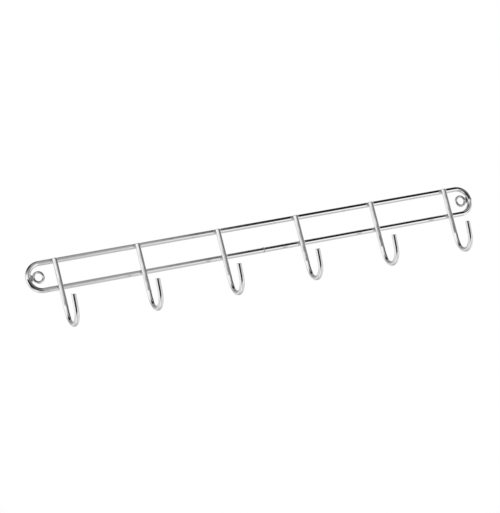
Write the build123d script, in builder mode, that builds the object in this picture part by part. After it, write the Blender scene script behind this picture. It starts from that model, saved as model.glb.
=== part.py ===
from build123d import *
import os

# Wall hook rack bent and welded from round steel wire, sizes in millimetres
# X runs along the rack, +Z is up, the wall is the plane y = 0 and the front faces -Y

# Frame loop
overall_length = 401.5
run_spacing = 21.8
loop_wire = 4.2
loop_radius = loop_wire / 2
end_radius = run_spacing / 2
end_centre_x = overall_length / 2 - loop_radius - end_radius
loop_y = -loop_radius
upper_run_z = run_spacing / 2
lower_run_z = -run_spacing / 2

# Seam where the two ends of the loop wire meet on the lower run
seam_x = 1.5
seam_length = 1.3
seam_rise = 0.2
seam_edge = 0.15
seam_back_y = -0.6

# Hooks
hook_count = 6
hook_pitch = 70.0
hook_wire = 4.0
hook_radius = hook_wire / 2
set_down = 0.4
shank_y = -(loop_wire + hook_radius - set_down)
top_overhang = 1.3
hook_top_z = upper_run_z + top_overhang
shank_bottom_z = -27.0
lead_radius = 40.0
lead_angle = 10.0
throat_radius = 12.0
tip_lean = 9.0
throat_angle = 180.0 - lead_angle - tip_lean
tip_length = 11.2
end_rounding = 0.5

# Weld beads between each hook and the two runs
bead_length = 8.4
bead_radius = 1.8
bead_y = -(loop_wire - set_down / 2)

# Screw eyelets inside the rounded ends
eyelet_spacing = 380.0
eyelet_hole = 6.0
eyelet_wire = 2.2
eyelet_land = 0.8
eyelet_wire_radius = eyelet_wire / 2
eyelet_middle_radius = eyelet_hole / 2 + (eyelet_wire_radius**2 - (eyelet_land / 2) ** 2) ** 0.5
eyelet_outer_radius = eyelet_middle_radius + eyelet_wire_radius
eyelet_y = loop_y

# Weld beads between each eyelet and its rounded end
bridge_width = 3.4
bridge_height = 5.6
bridge_depth = 2.2
bridge_edge = 0.9
bridge_back_y = loop_y + bridge_depth / 2
bridge_x = (eyelet_spacing / 2 + eyelet_outer_radius + overall_length / 2 - loop_wire) / 2


def side_plane(x, y, z):
    """Plane square to the length of the rack."""
    return Plane(origin=(x, y, z), x_dir=(0, 1, 0), z_dir=(1, 0, 0))


def hook_plane(x):
    """Plane of one hook, local x pointing away from the wall and local y up."""
    return Plane(origin=(x, 0, 0), x_dir=(0, -1, 0), z_dir=(-1, 0, 0))


def save(part, label):
    """Names one sub-part and writes its file."""
    part.label = label
    export_step(part, f"parts/{label}.step")


os.makedirs("parts", exist_ok=True)

# Frame loop, one wire bent to two straight runs with half-round ends
with BuildPart() as frame_loop:
    with BuildLine(Plane(origin=(0, loop_y, 0), x_dir=(1, 0, 0), z_dir=(0, -1, 0))):
        lower_run = Line((-end_centre_x, lower_run_z), (end_centre_x, lower_run_z))
        right_end = JernArc(lower_run @ 1, lower_run % 1, end_radius, 180)
        upper_run = Line(right_end @ 1, (-end_centre_x, upper_run_z))
        JernArc(upper_run @ 1, upper_run % 1, end_radius, 180)
    with BuildSketch(side_plane(-end_centre_x, loop_y, lower_run_z)):
        Circle(loop_radius)
    sweep()
save(frame_loop.part, "frame_loop")

# Raised seam of the loop wire near the middle of the lower run, dressed flat towards the wall
with BuildPart() as loop_seam:
    with BuildSketch(side_plane(seam_x - seam_length / 2, loop_y, lower_run_z)):
        Circle(loop_radius + seam_rise)
    extrude(amount=seam_length)
    fillet(loop_seam.edges().filter_by(GeomType.CIRCLE), seam_edge)
    with BuildSketch(Plane(origin=(seam_x, seam_back_y, lower_run_z), x_dir=(1, 0, 0), z_dir=(0, 1, 0))):
        Rectangle(2 * seam_length, 2 * loop_wire)
    extrude(amount=loop_wire, mode=Mode.SUBTRACT)
    add(frame_loop.part, mode=Mode.SUBTRACT)
save(loop_seam.part, "loop_seam_weld")

# Hooks with the two beads that hold each of them
for number in range(1, hook_count + 1):
    hook_x = (number - (hook_count + 1) / 2) * hook_pitch

    # Hook wire: straight shank, slow lead-in, round throat, straight tip
    with BuildPart() as hook:
        with BuildLine(hook_plane(hook_x)):
            shank = Line((-shank_y, hook_top_z), (-shank_y, shank_bottom_z))
            lead = JernArc(shank @ 1, shank % 1, lead_radius, lead_angle)
            throat = JernArc(lead @ 1, lead % 1, throat_radius, throat_angle)
            Line(throat @ 1, (throat @ 1) + (throat % 1) * tip_length)
        with BuildSketch(Plane(origin=(hook_x, shank_y, hook_top_z), z_dir=(0, 0, -1))):
            Circle(hook_radius)
        sweep()
        fillet(hook.faces().filter_by(GeomType.PLANE).edges(), end_rounding)
        add(frame_loop.part, mode=Mode.SUBTRACT)
    save(hook.part, f"hook_{number}")

    # Beads around the two crossings, running out along the wire to a point on either side of the hook
    for name, run_z in (("upper", upper_run_z), ("lower", lower_run_z)):
        with BuildPart() as bead:
            with BuildSketch(Plane(origin=(hook_x, bead_y, run_z))):
                with BuildLine():
                    crest = ThreePointArc((-bead_length / 2, 0), (0, bead_radius), (bead_length / 2, 0))
                    Line(crest @ 1, crest @ 0)
                make_face()
            revolve(axis=Axis((hook_x, bead_y, run_z), (1, 0, 0)))
            add(frame_loop.part, mode=Mode.SUBTRACT)
            add(hook.part, mode=Mode.SUBTRACT)
        save(bead.part, f"hook_{number}_{name}_weld")

# Eyelets and the beads that join them to the rounded ends
for name, side in (("left", -1), ("right", 1)):
    eyelet_x = side * eyelet_spacing / 2

    # Ring of round wire, level with the middle of the loop wire, its hole reamed to leave a narrow land
    with BuildPart() as eyelet:
        with BuildSketch(Plane(origin=(eyelet_x - side * eyelet_middle_radius, eyelet_y, 0))):
            Circle(eyelet_wire_radius)
        revolve(axis=Axis((eyelet_x, 0, 0), (0, 1, 0)))
        with BuildSketch(Plane(origin=(eyelet_x, 0, 0), x_dir=(1, 0, 0), z_dir=(0, -1, 0))):
            Circle(eyelet_hole / 2)
        extrude(amount=loop_wire, mode=Mode.SUBTRACT)
    save(eyelet.part, f"eyelet_{name}")

    # Rounded bead filling the gap between the ring and the loop
    with BuildPart() as bridge:
        with BuildSketch(Plane(origin=(side * bridge_x, bridge_back_y, 0), x_dir=(1, 0, 0), z_dir=(0, -1, 0))):
            Ellipse(bridge_width / 2, bridge_height / 2)
        extrude(amount=bridge_depth)
        fillet(bridge.edges().filter_by(Plane.XZ), bridge_edge)
        add(frame_loop.part, mode=Mode.SUBTRACT)
        add(eyelet.part, mode=Mode.SUBTRACT)
    save(bridge.part, f"eyelet_{name}_weld")
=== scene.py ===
import math

import bpy
from mathutils import Matrix, Vector


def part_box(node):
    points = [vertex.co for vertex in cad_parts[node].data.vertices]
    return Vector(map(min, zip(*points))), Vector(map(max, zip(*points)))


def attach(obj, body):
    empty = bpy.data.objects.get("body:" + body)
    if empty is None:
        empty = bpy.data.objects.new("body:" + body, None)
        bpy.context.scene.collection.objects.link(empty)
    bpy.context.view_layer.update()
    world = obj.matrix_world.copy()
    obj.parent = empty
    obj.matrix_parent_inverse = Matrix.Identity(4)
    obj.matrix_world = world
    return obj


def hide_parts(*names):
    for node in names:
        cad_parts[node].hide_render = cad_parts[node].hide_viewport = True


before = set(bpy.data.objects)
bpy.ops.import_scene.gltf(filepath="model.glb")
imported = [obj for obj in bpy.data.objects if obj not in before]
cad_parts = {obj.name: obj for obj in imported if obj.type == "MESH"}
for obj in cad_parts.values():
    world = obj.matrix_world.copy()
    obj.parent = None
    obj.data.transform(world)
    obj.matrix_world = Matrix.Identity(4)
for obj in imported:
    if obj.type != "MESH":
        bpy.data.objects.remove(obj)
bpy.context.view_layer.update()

# Camera, found from the photograph's perspective, in degrees, metres and photograph pixels
CAMERA_YAW = 23.23
CAMERA_PITCH = 8.73
CAMERA_ROLL = 14.17
CAMERA_DISTANCE = 1.6766
CAMERA_TARGET = (-0.01071, 0.0, -0.01376)
FOCAL_PIXELS = 2060.0
PHOTO_LONG_SIDE = 513
SENSOR_WIDTH = 36.0
NEAR_CLIP = 0.05
FAR_CLIP = 60.0

# Mesh steps of the loop tube
AROUND = 64
ALONG_RUN = 200
ALONG_END = 64

# Chrome finishes: colour, roughness, grain of the clouding, height of the swells, width of the softened edges
FINISHES = {
    "loop": ((0.96, 0.945, 0.95), 0.05, 160.0, 0.00006, 0.0),
    "hook": ((0.955, 0.95, 0.95), 0.05, 180.0, 0.00006, 0.0),
    "eyelet": ((0.97, 0.965, 0.965), 0.25, 300.0, 0.00004, 0.0),
    "weld": ((0.75, 0.74, 0.74), 0.22, 900.0, 0.0005, 0.0008),
}
CLOUD_DETAIL = 4.0
CLOUD_SHADE = 0.95
CLEAR_GLOSS = 0.6
CLOUDED_GLOSS = 1.4
SWELL_SCALE = 90.0
SWELL_DETAIL = 1.0
EDGE_SAMPLES = 8

# Floor well below the rack, and the even room light and far lamp that throw a faint shadow on it
FLOOR_Z = -0.32
FLOOR_SIZE = 60.0
FLOOR_TONE = 0.985
BACKGROUND = 1.0
ROOM_LIGHT = 0.74
LAMP_FROM = (-1.5, -0.7, 2.2)
LAMP_SPREAD = 4.0
LAMP_STRENGTH = 1.0

# Surroundings that the chrome mirrors: a white tent with light and dark cards laid over it in turn
# A card is a tone and its soft edges, placed so that the mirrored bands agree with the photograph
# An edge is an axis of the direction, the value where the card starts and the value where it is full
WHITE = 1.06
CARDS = (
    ("high_ceiling", 0.0, (("up", 0.07, 0.88), ("right", -0.85, -0.80))),
    ("left_grey", 0.35, (("right", -0.215, -0.15), ("right", 0.645, 0.59), ("up", -0.43, 0.43))),
    ("right_black", 0.016, (("right", 0.34, 0.40), ("right", 0.75, 0.62), ("up", -0.21, -0.03))),
    ("right_shade", 0.0, (("right", 0.425, 0.955), ("up", 0.05, 0.19), ("back", 1.32, 0.73))),
    ("rear_grey", 0.39, (("back", 0.28, 0.88),)),
    ("right_white", WHITE, (
        ("right", -0.04, 0.66), ("back", -0.04, 0.10),
        ("up", 0.15, 0.20), ("up", 0.88, 0.78),
    )),
    ("top_black", 0.0, (
        ("right", -0.89, -0.69), ("right", 0.605, -0.07),
        ("up", 0.84, 0.90), ("back", 0.20, -0.11),
    )),
    ("left_white", 0.99, (("right", 0.535, -0.555), ("up", 0.21, 0.125), ("up", -1.13, 0.55))),
    ("low_grey", 0.59, (("up", -0.63, -0.88), ("right", -0.40, -0.05))),
    ("low_right", 0.62, (("right", 0.70, 0.84), ("up", 0.085, 0.01))),
    ("front_dark", 0.015, (
        ("right", -1.01, -0.69), ("right", 0.44, 0.17),
        ("up", 0.18, 0.12), ("up", -0.95, -0.445), ("back", 0.91, -0.23),
    )),
)


def loop_stations(length, spacing, wire):
    """Centres and outward directions along the closed centreline of the loop."""
    radius = spacing / 2
    end_x = (length - wire - spacing) / 2
    stations = []
    for side in (1, -1):
        for step in range(ALONG_RUN):
            x = side * end_x * (2 * step / ALONG_RUN - 1)
            stations.append((Vector((x, 0, -side * radius)), Vector((0, 0, -side))))
        for step in range(ALONG_END):
            angle = math.pi * (step / ALONG_END - side / 2)
            out = Vector((math.cos(angle), 0, math.sin(angle)))
            stations.append((Vector((side * end_x, 0, 0)) + out * radius, out))
    return stations


def build_loop():
    """The frame loop as one smooth closed tube, sized by its CAD node."""
    low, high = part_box("frame_loop")
    wire = high.y - low.y
    stations = loop_stations(high.x - low.x, high.z - low.z - wire, wire)
    middle = Vector((0, (low.y + high.y) / 2, 0))
    front = Vector((0, -1, 0))
    verts = []
    for centre, out in stations:
        for turn in range(AROUND):
            angle = 2 * math.pi * turn / AROUND
            verts.append(middle + centre + (out * math.cos(angle) + front * math.sin(angle)) * wire / 2)
    faces = []
    for station in range(len(stations)):
        here = station * AROUND
        there = (station + 1) % len(stations) * AROUND
        for turn in range(AROUND):
            after = (turn + 1) % AROUND
            faces.append((here + turn, there + turn, there + after, here + after))
    mesh = bpy.data.meshes.new("loop_wire")
    mesh.from_pydata(verts, [], faces)
    mesh.polygons.foreach_set("use_smooth", [True] * len(faces))
    mesh.update()
    loop = bpy.data.objects.new("loop_wire", mesh)
    bpy.context.scene.collection.objects.link(loop)
    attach(loop, "root")
    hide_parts("frame_loop")
    return loop


def chrome(name, colour, roughness, grain, swell_height, softening):
    """Bright plating with faint clouding, slight swells and, where asked for, softened edges."""
    material = bpy.data.materials.new(name)
    material.use_nodes = True
    nodes, links = material.node_tree.nodes, material.node_tree.links
    shader = nodes["Principled BSDF"]
    shader.inputs["Metallic"].default_value = 1.0
    place = nodes.new("ShaderNodeTexCoord")

    cloud = nodes.new("ShaderNodeTexNoise")
    cloud.inputs["Scale"].default_value = grain
    cloud.inputs["Detail"].default_value = CLOUD_DETAIL
    links.new(place.outputs["Object"], cloud.inputs["Vector"])

    tint = nodes.new("ShaderNodeMix")
    tint.data_type = "RGBA"
    tint.inputs["A"].default_value = (*(CLOUD_SHADE * channel for channel in colour), 1)
    tint.inputs["B"].default_value = (*colour, 1)
    links.new(cloud.outputs["Fac"], tint.inputs["Factor"])
    links.new(tint.outputs["Result"], shader.inputs["Base Color"])

    gloss = nodes.new("ShaderNodeMapRange")
    gloss.inputs["To Min"].default_value = CLEAR_GLOSS * roughness
    gloss.inputs["To Max"].default_value = CLOUDED_GLOSS * roughness
    links.new(cloud.outputs["Fac"], gloss.inputs["Value"])
    links.new(gloss.outputs["Result"], shader.inputs["Roughness"])

    swell = nodes.new("ShaderNodeTexNoise")
    swell.inputs["Scale"].default_value = SWELL_SCALE
    swell.inputs["Detail"].default_value = SWELL_DETAIL
    links.new(place.outputs["Object"], swell.inputs["Vector"])
    bump = nodes.new("ShaderNodeBump")
    bump.inputs["Strength"].default_value = 1.0
    bump.inputs["Distance"].default_value = swell_height
    links.new(swell.outputs["Fac"], bump.inputs["Height"])
    links.new(bump.outputs["Normal"], shader.inputs["Normal"])
    if softening:
        edge = nodes.new("ShaderNodeBevel")
        edge.samples = EDGE_SAMPLES
        edge.inputs["Radius"].default_value = softening
        links.new(edge.outputs["Normal"], bump.inputs["Normal"])
    return material


def dress(loop):
    """Gives every piece the finish of its kind."""
    looks = {kind: chrome(f"{kind}_chrome_look", *finish) for kind, finish in FINISHES.items()}
    loop.data.materials.append(looks["loop"])
    for name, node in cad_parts.items():
        kind = "weld" if name.endswith("_weld") else name.split("_")[0]
        if kind in looks:
            node.material_slots[0].material = looks[kind]


def look_from(yaw, pitch, roll, target, distance):
    """World matrix of a camera looking at the target, its angles in degrees."""
    yaw, pitch, roll = (math.radians(angle) for angle in (yaw, pitch, roll))
    ahead = Vector((math.sin(yaw) * math.cos(pitch), math.cos(yaw) * math.cos(pitch), math.sin(pitch)))
    right = Vector((math.cos(yaw), -math.sin(yaw), 0))
    up = right.cross(ahead)
    right, up = (
        right * math.cos(roll) - up * math.sin(roll),
        right * math.sin(roll) + up * math.cos(roll),
    )
    matrix = Matrix((right, up, -ahead)).transposed().to_4x4()
    matrix.translation = Vector(target) - ahead * distance
    return matrix


def build_camera():
    """Camera at the photograph's place."""
    data = bpy.data.cameras.new("camera")
    data.sensor_width = SENSOR_WIDTH
    data.lens = FOCAL_PIXELS * SENSOR_WIDTH / PHOTO_LONG_SIDE
    data.clip_start = NEAR_CLIP
    data.clip_end = FAR_CLIP
    camera = bpy.data.objects.new("camera", data)
    camera.matrix_world = look_from(CAMERA_YAW, CAMERA_PITCH, CAMERA_ROLL, CAMERA_TARGET, CAMERA_DISTANCE)
    bpy.context.scene.collection.objects.link(camera)
    bpy.context.scene.camera = camera


def build_floor():
    """Wide white floor, kept out of the mirror images so that the cards alone shape them."""
    half = FLOOR_SIZE / 2
    mesh = bpy.data.meshes.new("floor")
    corners = [(x, y, FLOOR_Z) for x, y in ((-half, -half), (half, -half), (half, half), (-half, half))]
    mesh.from_pydata(corners, [], [(0, 1, 2, 3)])
    floor = bpy.data.objects.new("floor", mesh)
    bpy.context.scene.collection.objects.link(floor)
    floor.visible_glossy = False
    material = bpy.data.materials.new("floor_white")
    material.use_nodes = True
    shader = material.node_tree.nodes["Principled BSDF"]
    shader.inputs["Base Color"].default_value = (FLOOR_TONE, FLOOR_TONE, FLOOR_TONE, 1)
    shader.inputs["Roughness"].default_value = 1.0
    shader.inputs["Specular IOR Level"].default_value = 0.0
    mesh.materials.append(material)


def build_lamp():
    """Far soft lamp, kept out of the mirror images like the floor."""
    data = bpy.data.lights.new("lamp", "SUN")
    data.angle = math.radians(LAMP_SPREAD)
    data.energy = LAMP_STRENGTH
    lamp = bpy.data.objects.new("lamp", data)
    lamp.rotation_mode = "QUATERNION"
    lamp.rotation_quaternion = (-Vector(LAMP_FROM)).to_track_quat("-Z", "Y")
    lamp.visible_glossy = False
    bpy.context.scene.collection.objects.link(lamp)


def soft_edge(tree, value, start, full):
    """0 before start, 1 past full, smooth between them."""
    ramp = tree.nodes.new("ShaderNodeMapRange")
    ramp.interpolation_type = "SMOOTHSTEP"
    ramp.inputs["From Min"].default_value = start
    ramp.inputs["From Max"].default_value = full
    tree.links.new(value, ramp.inputs["Value"])
    return ramp.outputs["Result"]


def product(tree, first, second):
    """The two values multiplied."""
    both = tree.nodes.new("ShaderNodeMath")
    both.operation = "MULTIPLY"
    tree.links.new(first, both.inputs[0])
    tree.links.new(second, both.inputs[1])
    return both.outputs[0]


def lay_cards(tree):
    """Tone of the tent and its cards in every direction."""
    place = tree.nodes.new("ShaderNodeTexCoord")
    split = tree.nodes.new("ShaderNodeSeparateXYZ")
    tree.links.new(place.outputs["Generated"], split.inputs["Vector"])
    axes = dict(zip(("right", "back", "up"), split.outputs))
    tent = tree.nodes.new("ShaderNodeValue")
    tent.outputs[0].default_value = WHITE
    tone = tent.outputs[0]
    for name, card_tone, edges in CARDS:
        cover = None
        for axis, start, full in edges:
            edge = soft_edge(tree, axes[axis], start, full)
            cover = edge if cover is None else product(tree, cover, edge)
        mix = tree.nodes.new("ShaderNodeMix")
        mix.label = name
        mix.inputs["B"].default_value = card_tone
        tree.links.new(cover, mix.inputs["Factor"])
        tree.links.new(tone, mix.inputs["A"])
        tone = mix.outputs["Result"]
    return tone


def build_world():
    """White to the camera, the tent with its cards to the chrome, even room light to the floor."""
    world = bpy.data.worlds.new("studio")
    bpy.context.scene.world = world
    world.use_nodes = True
    tree = world.node_tree
    path = tree.nodes.new("ShaderNodeLightPath")
    seen = tree.nodes.new("ShaderNodeMix")
    seen.inputs["A"].default_value = ROOM_LIGHT
    seen.inputs["B"].default_value = BACKGROUND
    tree.links.new(path.outputs["Is Camera Ray"], seen.inputs["Factor"])
    mirrored = tree.nodes.new("ShaderNodeMix")
    tree.links.new(path.outputs["Is Glossy Ray"], mirrored.inputs["Factor"])
    tree.links.new(seen.outputs["Result"], mirrored.inputs["A"])
    tree.links.new(lay_cards(tree), mirrored.inputs["B"])
    tree.links.new(mirrored.outputs["Result"], tree.nodes["Background"].inputs["Color"])


build_camera()
build_world()
build_floor()
build_lamp()
dress(build_loop())

bpy.context.scene.view_settings.view_transform = "Standard"
